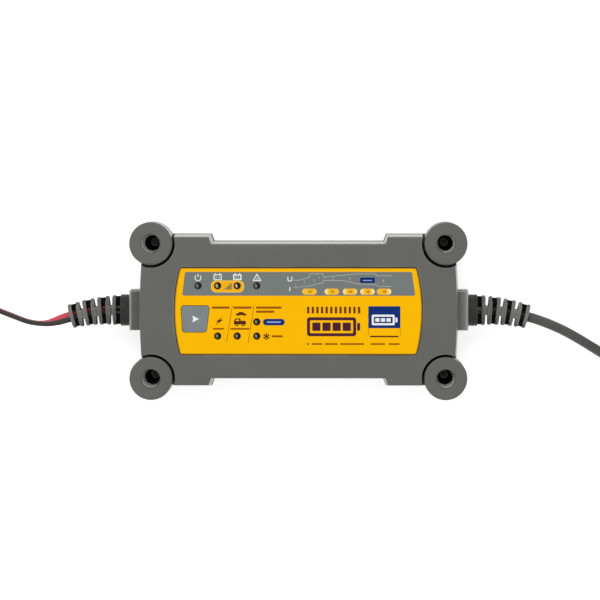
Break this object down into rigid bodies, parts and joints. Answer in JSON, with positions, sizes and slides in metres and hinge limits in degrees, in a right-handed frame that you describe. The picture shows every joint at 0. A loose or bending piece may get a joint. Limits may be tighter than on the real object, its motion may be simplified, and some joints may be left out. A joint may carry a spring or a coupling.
{
  "type": "car battery charger",
  "caption": "Flat car battery charger with corner screw posts, a yellow control panel with lamps and a mode key, a mains cord with a flat plug and a twin battery lead with a connector.",
  "frame": {"origin": "middle of the housing on the surface that its back rests on", "axes": "+X towards the mains cord along the length, +Y towards the top edge of the panel, +Z out of the front face"},
  "size_m": [0.5532, 0.1157, 0.0552],
  "materials": {
    "housing": "fine moulded texture, satin",
    "seal": "smooth",
    "relief": "satin moulded rubber",
    "screw": "zinc plated",
    "label": "printed polyester film, slightly glossy",
    "key": "soft satin",
    "switch": "moulded",
    "board": "solder mask",
    "lamp": "clear epoxy dome",
    "window": "translucent light guide",
    "chip": "moulded",
    "cable_flat": "ribbon cable",
    "fuse": "glass tube in metal caps",
    "film_cap": "potted box",
    "copper": "enamelled copper wire",
    "component": "moulded epoxy",
    "can": "sleeved can",
    "ferrite": "ferrite",
    "tape": "winding under yellow tape",
    "heatsink": "extruded",
    "relay": "moulded",
    "cord": "satin PVC sheath",
    "twin_lead": "flat red and black twin flex",
    "plug": "moulded PVC",
    "pin": "nickel plated",
    "contact": "plain brass"
  },
  "bodies": {
    "charger": {"base_shell": "housing", "front_cover": "housing", "housing_seal": "seal", "housing_screws": "screw", "front_label": "label", "mode_switch": "switch", "control_board": "board", "control_board_screws": "screw", "led_power": "lamp", "led_level_low": "lamp", "led_level_full": "lamp", "led_fault": "lamp", "led_supply": "lamp", "led_charge": "lamp", "led_refresh": "lamp", "led_cold": "lamp", "stage_window_1": "window", "stage_window_2": "window", "stage_window_3": "window", "stage_window_4": "window", "stage_window_5": "window", "stage_lamps": "chip", "main_board": "board", "main_board_screws": "screw", "board_link": "cable_flat", "mains_fuse": "fuse", "filter_capacitor": "film_cap", "input_choke": "copper", "bridge_rectifier": "component", "bulk_capacitor": "can", "transformer_core": "ferrite", "transformer_winding": "tape", "primary_heatsink": "heatsink", "power_transistor": "component", "secondary_heatsink": "heatsink", "output_diode": "component", "output_capacitors": "can", "output_relay": "relay", "mains_strain_relief": "relief", "battery_strain_relief": "relief", "mains_wires": "cord", "battery_wires": "twin_lead", "mains_cord": "cord", "mains_cord_coil": "cord", "mains_cord_end": "cord", "mains_plug": "plug", "mains_plug_pins": "pin", "battery_lead": "twin_lead", "battery_lead_coil": "twin_lead", "battery_lead_end": "twin_lead", "battery_connector": "plug", "battery_contacts": "contact"},
    "key": {"mode_key": "key", "switch_plunger": "switch"}
  },
  "joints": [
    {"name": "mode_key_press", "type": "slide", "parent": "charger", "child": "key", "axis": [0, 0, -1], "range_m": [0, 0.0007], "stiffness_N_per_m": 1500, "springref_m": -0.0005}
  ]
}
